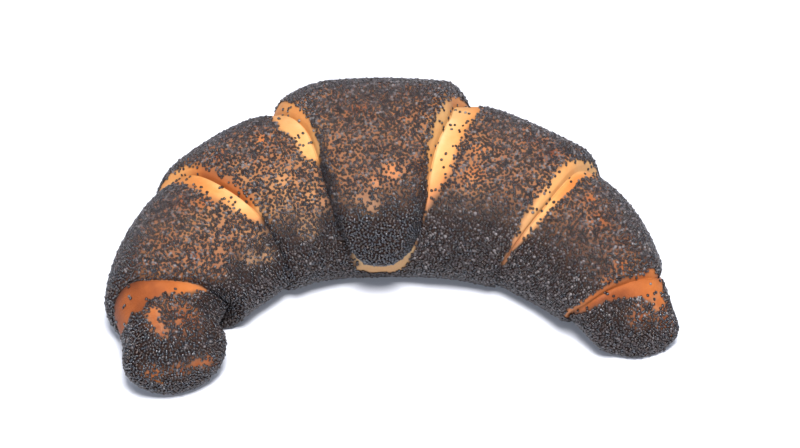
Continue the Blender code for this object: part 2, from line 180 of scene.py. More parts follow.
# The bare strips along the wrap edges. Each row says how a strip is at one girth: its bare width
# on the lip inside the edge and on the stretched dough beyond it, each with the width over which
# the seeds set in again, and how far its dough is baked on the lip, at the crease, a third of the
# way across and at the far side. Girths are in degrees, widths in tenths of a millimetre, and
# baking in percent.
STRIP_COLUMNS = "girth inside inside_fade beyond beyond_fade lip crease middle far".split()
STRIP_UNITS = (1, 10, 10, 10, 10, PERCENT, PERCENT, PERCENT, PERCENT)
STRIPS = {
    "tongue_left": (
        (60, 8, 8, 30, 10, 36, 37, 42, 47),
        (125, 20, 4, 36, 8, 28, 27, 30, 32),
        (140, 18, 4, 44, 6, 28, 20, 22, 28),
        (150, 14, 5, 56, 6, 32, 10, 18, 30),
        (158, 12, 5, 60, 12, 32, 10, 18, 26),
        (165, 10, 6, 62, 16, 28, 12, 20, 24),
        (172, 8, 6, 46, 12, 28, 14, 20, 24),
        (182, 9, 6, 44, 10, 22, 18, 20, 24),
        (188, 8, 6, 40, 10, 18, 20, 22, 24),
        (194, 6, 5, 22, 15, 18, 24, 26, 28),
        (200, 0, 4, 0, 10, 26, 32, 32, 32),
        (268, 0, 2, 0, 15, 26, 12, 8, 12),
        (275, 0, 2, 10, 30, 26, 10, 6, 8),
        (281, 0, 2, 26, 24, 26, 16, 12, 14),
        (286, 0, 2, 46, 12, 26, 20, 18, 20),
        (291, 0, 2, 58, 8, 26, 20, 20, 22),
    ),
    "tongue_right": (
        (60, 5, 10, 40, 10, 35, 30, 35, 45),
        (135, 5, 10, 80, 16, 32, 16, 28, 40),
        (150, 9, 16, 78, 18, 20, 10, 16, 42),
        (162, 12, 18, 62, 18, 17, 8, 14, 42),
        (175, 12, 18, 60, 20, 17, 6, 16, 40),
        (185, 12, 16, 54, 22, 17, 6, 18, 34),
        (198, 10, 14, 54, 22, 22, 10, 22, 34),
        (208, 4, 8, 50, 24, 24, 16, 26, 40),
        (215, 2, 6, 38, 26, 26, 20, 32, 46),
        (224, 0, 3, 22, 26, 26, 34, 44, 54),
        (230, 0, 3, 8, 26, 26, 46, 54, 60),
        (237, 0, 2, 2, 16, 26, 66, 68, 70),
        (245, 0, 2, 0, 10, 26, 74, 74, 74),
        (258, 0, 2, 0, 8, 26, 66, 66, 66),
        (265, 0, 3, 7, 10, 26, 8, 14, 22),
        (270, 0, 3, 10, 10, 26, 6, 12, 20),
        (275, 0, 3, 18, 12, 26, 10, 16, 20),
        (282, 0, 3, 36, 10, 26, 14, 18, 20),
        (291, 0, 3, 58, 8, 26, 16, 18, 22),
    ),
    "left_second": (
        (60, 6, 6, 20, 8, 37, 47, 50, 52),
        (110, 12, 4, 26, 6, 24, 38, 40, 42),
        (124, 10, 6, 40, 6, 24, 36, 38, 42),
        (136, 10, 8, 50, 8, 28, 29, 35, 40),
        (148, 6, 16, 46, 24, 40, 23, 35, 40),
        (160, 2, 26, 40, 34, 64, 19, 37, 42),
        (172, 2, 26, 41, 36, 64, 17, 33, 40),
        (184, 2, 26, 38, 36, 64, 15, 27, 32),
        (192, 1, 26, 30, 34, 62, 17, 24, 30),
        (204, 1, 26, 33, 24, 62, 16, 18, 24),
        (212, 5, 10, 30, 14, 24, 26, 30, 34),
        (218, 3, 6, 22, 10, 22, 32, 34, 36),
        (225, 0, 4, 0, 8, 27, 42, 42, 42),
    ),
    "left_third": (
        (60, 0, 6, 20, 8, 85, 87, 83, 79),
        (100, 0, 10, 80, 8, 85, 91, 75, 65),
        (112, 0, 12, 98, 6, 86, 91, 75, 63),
        (124, 0, 28, 106, 6, 88, 93, 73, 65),
        (136, 0, 28, 102, 6, 88, 95, 69, 75),
        (148, 0, 28, 102, 6, 88, 92, 74, 83),
        (154, 0, 28, 90, 6, 88, 90, 74, 85),
        (159, 0, 28, 70, 6, 88, 84, 72, 85),
        (166, 0, 28, 62, 6, 86, 82, 70, 83),
        (174, 0, 28, 56, 8, 84, 80, 70, 81),
        (184, 0, 28, 46, 8, 82, 72, 68, 71),
        (198, 0, 14, 40, 8, 80, 66, 62, 57),
        (208, 0, 12, 33, 8, 80, 57, 55, 50),
        (220, 0, 12, 24, 8, 78, 53, 53, 52),
        (232, 0, 10, 17, 8, 74, 57, 53, 52),
        (240, 0, 8, 0, 8, 70, 54, 54, 54),
    ),
    "right_second": (
        (60, 6, 6, 20, 8, 32, 40, 45, 50),
        (120, 8, 4, 35, 8, 18, 25, 27, 35),
        (140, 7, 4, 42, 16, 18, 24, 30, 44),
        (154, 10, 5, 42, 14, 20, 20, 30, 46),
        (162, 14, 6, 34, 12, 22, 18, 34, 46),
        (170, 14, 16, 26, 10, 25, 22, 42, 46),
        (178, 14, 16, 31, 8, 23, 24, 44, 48),
        (186, 15, 22, 30, 8, 23, 24, 44, 48),
        (194, 15, 22, 26, 8, 21, 20, 40, 46),
        (202, 15, 22, 18, 14, 19, 20, 28, 36),
        (212, 15, 24, 16, 20, 21, 20, 24, 36),
        (222, 15, 24, 14, 22, 23, 22, 26, 40),
        (230, 15, 24, 13, 20, 25, 20, 26, 40),
        (238, 8, 16, 10, 16, 27, 17, 25, 39),
        (246, 8, 16, 5, 12, 44, 46, 52, 62),
        (254, 4, 8, 2, 8, 54, 58, 62, 67),
        (264, 3, 6, 5, 8, 59, 67, 72, 72),
        (271, 0, 6, 0, 8, 59, 67, 72, 72),
    ),
    "right_third": (
        (60, 0, 5, 20, 8, 60, 59, 64, 69),
        (120, 0, 5, 16, 8, 55, 51, 51, 54),
        (132, 0, 6, 22, 10, 55, 54, 51, 54),
        (142, 2, 8, 40, 8, 55, 60, 56, 55),
        (150, 3, 12, 44, 6, 53, 58, 54, 55),
        (160, 8, 14, 43, 6, 53, 58, 56, 57),
        (166, 3, 10, 42, 6, 58, 60, 58, 61),
        (178, 1, 8, 48, 6, 63, 62, 60, 63),
        (188, 1, 8, 54, 6, 63, 62, 64, 67),
        (200, 1, 10, 49, 6, 63, 62, 66, 73),
        (208, 3, 10, 44, 6, 63, 58, 70, 79),
        (220, 3, 14, 36, 8, 63, 62, 76, 87),
        (232, 6, 16, 28, 8, 63, 64, 80, 89),
        (240, 8, 16, 18, 10, 61, 68, 84, 93),
        (250, 12, 14, 12, 12, 55, 66, 80, 89),
        (262, 14, 12, 12, 10, 50, 62, 70, 79),
        (276, 15, 10, 6, 8, 50, 60, 65, 69),
        (290, 8, 8, 3, 6, 55, 60, 65, 69),
        (300, 0, 8, 0, 6, 55, 55, 60, 65),
    ),
}
STRIP_MIDDLE = 0.33

# How ragged a strip's edge is, as layers of noise, fully so only on strips of this width, how soft
# its baking ends, and its patches.
STRIP_RAGGEDNESS = ((0.0021, 0.0012, 41),)
RAGGED_WIDTH = 0.0030
BAKE_SOFTNESS = 0.0016
STRIP_PATCHES = ((0.0060, 0.06, 24), (0.0020, 0.06, 25))

# The deep creases, where no light comes in: their girths in degrees, how far they reach, how dark
# the crust is painted in them as painted shade, and the darker tone of their seeds, the same painted
# shade.
GROOVES = {"tongue": (192, 268), "left_second": (216, 300), "left_third": (236, 300)}
GROOVE_SOFTNESS = 8.0
GROOVE_REACH = 0.0022
PAINTED_GROOVE_SHADE = 0.9
SHADED_GROOVE_TONE = 0.27

# How much of the crust the seeds cover. They lie in clumps where the cover is thin, and a few are
# astray on the bare strips.
COVER = (
    (100, 100, 100, 100, 100, 100),
    (100, 99, 97, 98, 100, 100),
    (100, 92, 91, 96.5, 100, 100),
    (100, 98, 98, 98, 100, 100),
    (100, 93, 93, 98, 100, 100),
    (100, 99, 98, 99, 100, 100),
    (100, 100, 99, 100, 100, 100),
)
CLUMPS = ((0.0060, 0.22, 31), (0.0021, 0.50, 32))
CLUMP_REACH = 8.0
STRAY_COVER = 0.045

# Spots where the seeds have come off or the dough has browned.
SPOTS = (
    # turn, girth in degrees, radius in millimetres, percent of the seeds that is gone in the middle
    # of the spot, and percent that its dough is baked
    (-3.08, 163, 1.6, 95, 62),
    (-3.20, 164, 1.5, 95, 64),
    (-3.32, 166, 1.4, 90, 66),
    (-3.44, 170, 1.2, 80, 68),
    (-3.56, 176, 1.1, 60, 70),
    (-3.82, 246, 1.7, 60, 64),
    (-3.70, 256, 1.7, 60, 62),
    (-3.60, 276, 1.6, 30, 66),
    (-3.94, 235, 2.0, 35, 68),
    (-3.975, 150, 2.0, 50, 62),
    (-3.20, 196, 5.0, 3, 54),
    (-1.45, 165, 3.0, 12, 66),
    (-1.35, 182, 3.0, 12, 52),
    (-1.62, 225, 2.2, 20, 60),
    (-1.20, 228, 1.8, 20, 56),
    (-1.75, 205, 2.2, 12, 62),
    (-1.30, 240, 1.8, 16, 60),
    (-1.12, 247, 1.6, 30, 36),
    (-1.08, 160, 2.0, 14, 70),
    (-0.80, 167, 2.4, 18, 50),
    (-0.75, 205, 4.0, 14, 40),
    (-0.55, 222, 3.2, 14, 34),
    (-0.62, 240, 2.4, 14, 34),
    (-0.20, 172, 3.0, 12, 52),
    (0.12, 178, 2.4, 12, 50),
    (0.14, 214, 2.2, 42, 46),
    (0.02, 220, 1.6, 36, 50),
    (-0.15, 223, 2.2, 20, 72),
    (0.00, 231, 2.2, 20, 72),
    (1.30, 170, 3.0, 12, 78),
    (1.10, 165, 2.4, 12, 66),
    (0.72, 188, 2.4, 22, 46),
    (0.72, 210, 3.6, 18, 46),
    (1.75, 180, 2.0, 18, 54),
    (1.90, 190, 3.0, 10, 54),
    (2.40, 200, 2.4, 10, 62),
    (2.35, 222, 1.6, 20, 80),
    (3.12, 158, 2.2, 90, 54),
    (3.16, 168, 1.6, 60, 64),
    (3.30, 220, 2.4, 20, 78),
    (3.75, 190, 2.4, 20, 84),
)

# Poppy seeds: how many places are tried, how close they can lie, length, width and thickness, how
# much they vary in size, how far they tilt, how high their middles lie on the crust and over the
# floor, how far down the crust may face, how bent they are, and the number that draws them.
SEED_TRIES = 420000
SEED_SPACING = 0.00071
SEED_SIZE = (0.00112, 0.00096, 0.00082)
SEED_VARIATION = 0.09
SEED_TILT = math.radians(14.0)
SEED_TILT_SPREAD = 0.7
SEED_LIFT = 0.00011
SEED_FLOOR_GAP = 0.00042
SEED_LEAST_FACING = -0.80
SEED_BEND = 0.16
SEED_DRAW = 5

# A second layer of seeds, where the coat is thick.
TOP_SPACING = 0.0021
TOP_LIFT = 0.00032
TOP_LEAST_COVER = 0.94

# The tones of the seeds, from blue-black to dusty grey, and on the tongue by girth alone, also in
# percent. They spread by the first share up to the first girth, and by the second share from the
# second girth on. Strays are the seeds where the crust is barer than the last number.
TONE_SPREAD = (0.23, 0.17)
SPREAD_GIRTHS = (205, 235)
TONE = (
    (26, 22, 26, 38, 38, 34),
    (32, 42, 46, 44, 44, 44),
    (32, 42, 44, 44, 44, 42),
    (34, 44, 46, 46, 46, 42),
    (34, 44, 46, 46, 50, 50),
    (34, 42, 46, 46, 50, 50),
    (36, 42, 46, 46, 46, 44),
)
TONGUE_TONE = (34, 44, 46, 42, 20, 14)
STRAY_TONE = 0.36
STRAY_LEAST_BARE = 0.5

# Small steps of turn and girth for slopes, and the least values that keep divisions safe.
NUDGE = 1e-3
LEAST_STRETCH = 1e-12
LEAST_AREA_SHARE = 1e-3
LEAST_SLOPE = 1e-9

# Below this height the crust is the bare underside. Seeds lie only above the second height.
UNDERSIDE_HEIGHT = 0.0022
SEED_LEAST_HEIGHT = 0.0004

# The crust between the seeds is darkened as painted shade of the seeds, and partly as deeper seeds
# showing through: how dark it is there, how much of it has to be open for the painted shade to go,
# and the cover above which it grows fully dark.
PAINTED_GAP_SHADE = 0.48
OPEN_GAPS = 0.30
THIN_COVER = 0.975

# The crust's colour is dulled towards a pale grey-tan: on top, but not where it is bare or baked well,
# and more so low on the inner side near the middle, by girth in degrees and by turn, but less on bare
# strips.
DULL_ON_TOP = 0.30
WELL_BAKED = 0.41
DULL_LOW = 0.70
DULL_LESS_ON_STRIPS = 0.45
DULL_GIRTHS = (205, 240)
DULL_TURNS = (1.3, 2.2)

# The name of the pieces' flat layouts, and the room at the crust's ends in its own.
MAP_NAME = "OFBake"
END_ROOM = 0.004

# A bead's sides, the latitude of its two rings, and the margin round it in its flat layout.
SEED_SIDES = 6
SEED_RING_LATITUDE = math.radians(28.0)
SEED_MAP_ROOM = 0.06

# Whole numbers that stir a lattice corner's three numbers into one random value.
HASH_FACTORS = np.array([73856093, 19349663, 83492791])
HASH_DRAW = 40503
HASH_STIR = 1274126177
HASH_SHIFT = 13
HASH_MASK = 0xFFFF

# The crust's colours by how far it is baked, as shares of the screen's red, green and blue.
BAKE_COLOURS = (
    (0.00, (0.74, 0.64, 0.49)),
    (0.15, (0.73, 0.565, 0.37)),
    (0.30, (0.715, 0.475, 0.26)),
    (0.45, (0.66, 0.39, 0.19)),
    (0.60, (0.57, 0.31, 0.145)),
    (0.75, (0.46, 0.235, 0.11)),
    (0.90, (0.34, 0.17, 0.09)),
    (1.00, (0.26, 0.13, 0.08)),
)
# The colour of the painted shade between the seeds and in the deep creases, then the pale grey-tan
# that dulls the crust.
PAINTED_SHADE_COLOUR = (0.16, 0.105, 0.085)
DULL_COLOUR = (0.57, 0.48, 0.385)

# The crust's mottling and bumps, each with its strength or height, its number to the metre and its
# detail. Then how rough and how glossy the crust is.
CRUST_MOTTLE = (0.08, 700.0, 4.0)
CRUST_BUMPS = (0.00012, 1500.0, 3.0)
CRUST_ROUGHNESS = 0.62
CRUST_GLOSS = 0.16

# The sockets that a mix of colours is fed and read by.
MIX_COLOUR_INPUTS = (0, 6, 7)
MIX_COLOUR_OUTPUT = 2

# The kinds of seed, with one piece for each, and the mottling and netting of their skin, given
# like the crust's. The last kind ends past 1 to take in that tone.
SEED_KINDS = {
    # first tone, last tone, colour at the first, colour at the last, roughness, gloss, its colour
    "black": (0.0, 0.24, (0.005, 0.005, 0.03), (0.04, 0.035, 0.065), 0.16, 0.92, (0.96, 0.97, 1.0)),
    "slate": (0.24, 0.40, (0.065, 0.048, 0.055), (0.13, 0.09, 0.085), 0.18, 0.62, (1.0, 0.92, 0.89)),
    "umber": (0.40, 0.54, (0.095, 0.08, 0.09), (0.15, 0.125, 0.13), 0.19, 0.42, (1, 1, 1)),
    "brown": (0.54, 0.70, (0.15, 0.125, 0.13), (0.235, 0.20, 0.205), 0.20, 0.38, (1, 1, 1)),
    "grey": (0.70, 1.01, (0.28, 0.255, 0.26), (0.43, 0.41, 0.415), 0.22, 0.38, (1, 1, 1)),
}
SEED_MOTTLE = (0.10, 1800.0, 2.0)
SEED_NETTING = (0.00003, 6000.0, 1.0)

# The floor, the light of the room and the lamps: place, size, power and colour.
FLOOR_HALF = 3.0
FLOOR_COLOUR = (0.80, 0.81, 0.85)
FLOOR_ROUGHNESS = 0.9
ROOM_COLOUR = (0.78, 0.86, 1.0)
ROOM_STRENGTH = 0.32
LAMPS = (
    ("main_light", (0.04, -0.28, 0.96), 0.26, 19.5, (1.0, 0.98, 0.95)),
    ("overhead_light", (0.0, 0.10, 0.95), 0.90, 4.0, (0.98, 0.99, 1.0)),
    ("front_light", (-0.10, -1.00, 0.50), 0.45, 5.0, (0.90, 0.95, 1.0)),
)

# The camera, as found by fitting the outline: degrees above the floor, target, distance, lens.
CAMERA_RISE = math.radians(48.0)
CAMERA_TARGET = (0.0026, -0.0010, 0.0200)
CAMERA_DISTANCE = 0.620
CAMERA_LENS = 88.85
CAMERA_SENSOR = 36.0
CAMERA_NEAREST = 0.02


def natural_spline(stops, values, at):
    """A natural cubic spline through values at stops, read at each place of at."""
    stops, values = np.asarray(stops, float), np.asarray(values, float)
    gaps = np.diff(stops)
    system = np.eye(len(stops))
    known = np.zeros(values.shape)
    for k in range(1, len(stops) - 1):
        system[k, k - 1 : k + 2] = gaps[k - 1], 2 * (gaps[k - 1] + gaps[k]), gaps[k]
        rise = (values[k + 1] - values[k]) / gaps[k]
        known[k] = 6 * (rise - (values[k] - values[k - 1]) / gaps[k - 1])
    bends = np.linalg.solve(system, known)
    k = np.clip(np.searchsorted(stops, at, side="right") - 1, 0, len(gaps) - 1)
    gap = gaps[k]
    late = (at - stops[k]) / gap
    if values.ndim > 1:
        gap, late = gap[..., None], late[..., None]
    early = 1 - late
    curve = (early**3 - early) * bends[k] + (late**3 - late) * bends[k + 1]
    return early * values[k] + late * values[k + 1] + curve * gap**2 / 6


def end_taper(turn):
    """The share of the full section that is left near the horns' ends."""
    shares = []
    ends = ((turn - TURNS[0], LEFT_END_TURNS), (TURNS[-1] - turn, RIGHT_END_TURNS))
    for distance, span in ends:
        closed = np.clip(1 - distance / span, 0, 1)
        shares.append((1 - closed**END_POWER) ** (1 / END_POWER))
    return np.maximum(shares[0] * shares[1], LEAST_SECTION)


def rest_on_floor(height):
    """Heights cut off flat at the floor, with the corner of the cut rounded."""
    corner = (height + FOOT_SOFTNESS) ** 2 / (4 * FOOT_SOFTNESS)
    return np.where(height < -FOOT_SOFTNESS, 0, np.where(height < FOOT_SOFTNESS, corner, height))


def place(turn, girth, proud=0.0):
    """The point at a turn and a girth, proud of the core by that much."""
    core = natural_spline(TURNS, CORE, turn)
    outer, inner = core[..., 0:2], core[..., 2:4]
    half_height = core[..., 4] / (2 - SUNK_SHARE)
    half_width = np.hypot(*np.moveaxis(outer - inner, -1, 0)) / 2
    outwards = (outer - inner) / (2 * half_width[..., None])
    taper = end_taper(turn)
    slope_across = np.sin(girth) / half_width
    slope_up = -np.cos(girth) / half_height
    steepness = np.hypot(slope_across, slope_up)
    proud = proud * np.sqrt(taper)
    across = half_width * taper * np.sin(girth) + proud * slope_across / steepness
    height = half_height * (1 - SUNK_SHARE - taper * np.cos(girth))
    height = height + proud * slope_up / steepness
    plan = (outer + inner) / 2 + outwards * across[..., None] - OUTLINE_MIDDLE
    return np.concatenate([plan, rest_on_floor(height)[..., None]], -1)


def tongue_middle(girth):
    """The turn of the tongue's middle line, and half of its width before it narrows."""
    left, right = [natural_spline(TONGUE_GIRTHS, side, girth) for side in (TONGUE_LEFT, TONGUE_RIGHT)]
    return (left + right) / 2, (right - left) / 2


def lip_width(name, turn, girth):
    """The width of a wrap edge's rounded lip."""
    if name != "tongue":
        return WRAP_EDGES[name]["lip"]
    left_lip = natural_spline(TONGUE_GIRTHS, TONGUE_LEFT_LIP, girth)
    return np.where(turn < tongue_middle(girth)[0], left_lip, WRAP_EDGES[name]["lip"])


def narrowing(girth):
    """0 where the tongue starts to narrow and 1 at its tip."""
    return np.clip((girth - TONGUE_NARROWS) / (TONGUE_TIP - TONGUE_NARROWS), 0, None)


def edge_turn(name, girth):
    """The turn of a wrap edge that runs all the way round."""
    return natural_spline(EDGE_GIRTHS, WRAP_EDGES[name]["turn"], girth)


def beyond(name, turn, girth):
    """A measure of how far a place lies past a wrap edge, in turns: 0 on it, over 0 outside."""
    edge = WRAP_EDGES[name]
    if edge["side"]:
        return edge["side"] * (turn - edge_turn(name, girth))
    middle, half = tongue_middle(girth)
    power = TONGUE_ROUNDNESS
    oval = (np.abs(turn - middle) / half) ** power + narrowing(girth) ** power
    return half * (oval ** (1 / power) - 1)


def slopes(function, turn, girth):
    """How fast a function of turn and girth changes with each of them."""
    by_turn = function(turn + NUDGE, girth) - function(turn - NUDGE, girth)
    by_girth = function(turn, girth + NUDGE) - function(turn, girth - NUDGE)
    return by_turn / (2 * NUDGE), by_girth / (2 * NUDGE)


def stretch_of(turn, girth):
    """How the core stretches turn and girth: the three products of its two tangents."""
    along, around = slopes(place, turn, girth)
    along_squared = (along**2).sum(-1) + LEAST_STRETCH
    around_squared = (around**2).sum(-1) + LEAST_STRETCH
    return along_squared, (along * around).sum(-1), around_squared


def distance_past(name, turn, girth, stretch):
    """The distance on the surface past a wrap edge, in metres, and less than 0 inside it."""
    by_turn, by_girth = slopes(lambda t, g: beyond(name, t, g), turn, girth)
    along, shear, around = stretch
    area = np.maximum(along * around - shear**2, LEAST_AREA_SHARE * along * around)
    slope = (around * by_turn**2 - 2 * shear * by_turn * by_girth + along * by_girth**2) / area
    return beyond(name, turn, girth) / np.sqrt(slope + LEAST_SLOPE)


def lip(depth_inside, width):
    """The rounded edge of a wrap: 0 at the edge and 1 once it lies flat."""
    short = np.clip(1 - depth_inside / width, 0, 1)
    return np.where(depth_inside <= 0, 0, (1 - short**2) ** LIP_POWER)


def unevenness(turn, girth):
    """The slow rise and fall of the dough."""
    waves = 0.0
    for along, around, phase in UNEVEN_WAVES:
        waves = waves + np.sin(2 * math.pi * along * turn + around * girth + phase)
    return UNEVENNESS * waves


def wraps(turn, girth):
    """How far the wraps stand proud of the core, and the distance past each wrap edge."""
    stretch = stretch_of(turn, girth)
    proud = unevenness(turn, girth)
    past = {}
    for name, edge in WRAP_EDGES.items():
        distance = distance_past(name, turn, girth, stretch)
        step = natural_spline(EDGE_GIRTHS, edge["step"], girth)
        on_right = 1 if edge["side"] > 0 else 0
        proud += step * (lip(-distance, lip_width(name, turn, girth)) - on_right)
        width = np.where(distance < 0, CREASE_WIDTH_INSIDE, CREASE_WIDTH_BEYOND)
        proud -= edge["crease"] * np.exp(-((distance / width) ** 2))
        past[name] = distance
    return proud, past


def surface(turn, girth):
    """The roll's smooth surface at each turn and girth."""
    return place(turn, girth, wraps(turn, girth)[0])


def lattice_noise(points, cell, draw):
    """Smooth random values from 0 to 1 in space, about one bump in each cell."""
    scaled = points / cell
    corner = np.floor(scaled).astype(np.int64)
    share = scaled - corner
    share = share * share * (3 - 2 * share)
    total = 0.0
    for offset in np.ndindex(2, 2, 2):
        mixed = ((corner + offset) * HASH_FACTORS).sum(-1) + draw * HASH_DRAW
        mixed = (mixed ^ (mixed >> HASH_SHIFT)) * HASH_STIR
        value = ((mixed >> HASH_SHIFT) & HASH_MASK) / HASH_MASK
        weight = np.prod(np.where(offset, share, 1 - share), axis=-1)
        total = total + weight * value
    return total


def layers_of_noise(points, layers):
    """Several layers of noise added up, each from minus half its strength to plus half."""
    return sum(strength * (lattice_noise(points, cell, draw) - 0.5) for cell, strength, draw in layers)


def girth_lines():
    """The girths of the grid's lengthwise lines, with the first one again at the end."""
    cells = np.concatenate([[0], np.cumsum(GIRTH_CELLS)])
    return np.radians(np.interp(np.arange(cells[-1] + 1), cells, GIRTH_STOPS))


def ring_shares(stretch):
    """How a stretch's rings are spaced, from 0 to 1. They crowd to the wrap edges and the ends."""
    share = np.arange(CELLS_ALONG[stretch]) / CELLS_ALONG[stretch]
    if stretch == 0:
        return share**END_CROWDING
    if stretch == len(CELLS_ALONG) - 1:
        return 1 - (1 - share) ** END_CROWDING
    return share - EDGE_CROWDING * np.sin(2 * math.pi * share)


def turn_lines(girth):
    """The turns of the grid's rings at each girth. The rings follow the wrap edges."""
    power = TONGUE_ROUNDNESS
    open_share = np.clip(1 - narrowing(girth) ** power, 0, 1) ** (1 / power)
    middle, half = tongue_middle(girth)
    half = half * np.maximum(open_share, TONGUE_GUIDE)
    stops = [np.full_like(girth, TURNS[0])]
    stops += [edge_turn("left_third", girth), edge_turn("left_second", girth)]
    stops += [middle - half, middle + half]
    stops += [edge_turn("right_second", girth), edge_turn("right_third", girth)]
    stops += [np.full_like(girth, TURNS[-1])]
    rings = []
    for k in range(len(CELLS_ALONG)):
        rings += [stops[k] + (stops[k + 1] - stops[k]) * share for share in ring_shares(k)]
    return np.array([*rings, stops[-1]])


def skin(turn, girth):
    """The crust's points with its fine bumps and cracks, and the distance past each wrap edge."""
    proud, past = wraps(turn, girth)
    smooth = place(turn, girth, proud)
    bumps = layers_of_noise(smooth, SKIN_BUMPS)
    for distance in past.values():
        bumps = bumps - CRACK_DEPTH * np.exp(-((distance / CRACK_WIDTH) ** 2))
    return place(turn, girth, proud + bumps), past


def crust_grid():
    """The crust on its grid of rings and lengthwise lines: turn, girth, point and the distance past
    each wrap edge at each place."""
    girth = girth_lines()
    turn = turn_lines(girth)
    girth = np.broadcast_to(girth, turn.shape)
    points, past = skin(turn, girth)
    points[:, -1] = points[:, 0]
    return {"turn": turn, "girth": girth, "points": points, **past}


def smooth(share):
    """0 up to 0 and 1 from 1 on, with a soft rise between."""
    share = np.clip(share, 0, 1)
    return share * share * (3 - 2 * share)


def strip_columns(rows, girth):
    """The columns of a strip's table, read at each girth."""
    columns = (np.array(rows) / STRIP_UNITS).T
    degrees = np.degrees(girth)
    return {key: np.interp(degrees, columns[0], values) for key, values in zip(STRIP_COLUMNS, columns)}


def baked_across(at, across):
    """How far a strip's dough is baked, from the crease, where across is 0, to the far side."""
    stops = (0, STRIP_MIDDLE, 1)
    shares = {"crease": (1, 0, 0), "middle": (0, 1, 0), "far": (0, 0, 1)}
    return sum(np.interp(across, stops, share) * at[key] for key, share in shares.items())


def strips_at(places, extra_fade=0.0):
    """For each strip along a wrap edge, how bare each place is there and how far it is baked."""
    on_left = places["turn"] < tongue_middle(places["girth"])[0]
    ragged = layers_of_noise(places["points"], STRIP_RAGGEDNESS)
    for name, rows in STRIPS.items():
        past = places["tongue" if name.startswith("tongue") else name]
        here = {"tongue_left": on_left, "tongue_right": ~on_left}.get(name, True)
        at = strip_columns(rows, places["girth"])
        inside = past <= 0
        width = MM * np.where(inside, at["inside"], at["beyond"])
        fade = MM * np.where(inside, at["inside_fade"], at["beyond_fade"]) + extra_fade
        depth = abs(past) + ragged * np.clip(width / RAGGED_WIDTH, 0, 1)
        bare = np.where(here & (width > 0), 1 - smooth((depth - width) / fade), 0)
        across = np.clip(past / (width + fade), 0, 1)
        yield bare, np.where(inside, at["lip"], baked_across(at, across))


def spots_at(points):
    """How strongly each spot shows at each place, what share of its seeds is gone, and its baking."""
    for turn, girth, radius, gone, baked in SPOTS:
        middle = surface(np.array(turn), np.radians(float(girth)))
        distance = np.linalg.norm(points - middle, axis=-1)
        yield np.exp(-((distance / (radius * MM)) ** 2)), gone / PERCENT, baked / PERCENT


def groove_share(places):
    """How deep in a dark crease each place lies, from 0 to 1."""
    degrees = np.degrees(places["girth"])
    depth = 0.0
    for name, (start, stop) in GROOVES.items():
        here = smooth((degrees - start) / GROOVE_SOFTNESS) * smooth((stop - degrees) / GROOVE_SOFTNESS)
        if name == "tongue":
            here = here * (places["turn"] < 0)
        depth = np.maximum(depth, here * np.exp(-((places[name] / GROOVE_REACH) ** 2)))
    return depth


def table_value(table, places):
    """A table's value at each place, read between its rows and between its columns."""
    girths = np.array(TABLE_GIRTHS, float)
    degrees = np.degrees(places["girth"])
    k = np.clip(np.searchsorted(girths, degrees) - 1, 0, len(girths) - 2)
    late = np.clip((degrees - girths[k]) / (girths[k + 1] - girths[k]), 0, 1)
    columns = np.transpose(table) / PERCENT
    values = np.stack([np.interp(places["turn"], TABLE_TURNS, column) for column in columns])
    low = np.take_along_axis(values, k[None], 0)[0]
    high = np.take_along_axis(values, k[None] + 1, 0)[0]
    return low + (high - low) * late


def seed_cover(places):
    """The share of the crust that seeds cover, and how bare it is along the wrap edges."""
    cover = table_value(COVER, places)
    for strength, gone, _ in spots_at(places["points"]):
        cover = cover - gone * strength
    bare = 0.0
    for on_strip, _ in strips_at(places):
        bare = np.maximum(bare, on_strip)
    return cover, bare


def bake_of(places):
    """How far each place of the crust is baked, from 0, pale, to 1, dark."""
    points = places["points"]
    bake = table_value(BAKE, places)
    for strength, _, baked in spots_at(points):
        bake = bake + (baked - bake) * strength
    flat = np.clip(1 - points[..., 2] / UNDERSIDE_HEIGHT, 0, 1)
    bake = bake + (UNDERSIDE_BAKE - bake) * flat
    bake = bake + layers_of_noise(points, BAKE_PATCHES)
    for on_strip, baked in strips_at(places, BAKE_SOFTNESS):
        bake = bake + (baked + layers_of_noise(points, STRIP_PATCHES) - bake) * on_strip
    return np.clip(bake, 0, 1)


def dullness(places, bare):
    """How far the dough's colour is dulled towards a pale grey-tan, from 0 to 1."""
    turn, degrees = places["turn"], np.degrees(places["girth"])
    low = np.interp(degrees, DULL_GIRTHS, (0, 1)) * np.interp(abs(turn), DULL_TURNS, (1, 0))
    clear = bare
    for strength, _, baked in spots_at(places["points"]):
        if baked > WELL_BAKED:
            clear = np.maximum(clear, strength)
    return np.maximum(DULL_ON_TOP * (1 - clear), DULL_LOW * low * (1 - DULL_LESS_ON_STRIPS * bare))


def painted_shade(places, cover, bare):
    """How dark the crust is painted where seeds or a deep crease shade it, from 0 to 1: painted shade.
    """
    thick = np.clip((cover - THIN_COVER) / (1 - THIN_COVER), 0, 1)
    closed = np.clip(1 - (1 - cover) / OPEN_GAPS, 0, 1)
    thick = (PAINTED_GAP_SHADE * closed + (1 - PAINTED_GAP_SHADE) * thick) * (1 - bare)
    thick = np.maximum(thick, PAINTED_GROOVE_SHADE * groove_share(places))
    return thick * np.clip(places["points"][..., 2] / UNDERSIDE_HEIGHT, 0, 1)


def add_object(name, data):
    """An object in the scene that shows the data."""
    obj = bpy.data.objects.new(name, data)
    bpy.context.scene.collection.objects.link(obj)
    return obj


def mesh_of(name, points, faces):
    """A mesh object with smooth faces, from an array of points and an array of faces."""
    mesh = bpy.data.meshes.new(name)
    mesh.from_pydata(points.tolist(), [], faces.tolist(), shade_flat=False)
    return add_object(name, mesh)


def add_values(obj, name, values):
    """Stores a number for each point of the mesh under a name that its material reads."""
    stored = obj.data.attributes.new(name, "FLOAT", "POINT")
    stored.data.foreach_set("value", values.astype(np.float32).ravel())


def add_map(obj, corners):
    """Lays the surface out flat, one pair of numbers for each corner of each face."""
    flat = obj.data.uv_layers.new(name=MAP_NAME)
    flat.data.foreach_set("uv", corners.astype(np.float32).ravel())


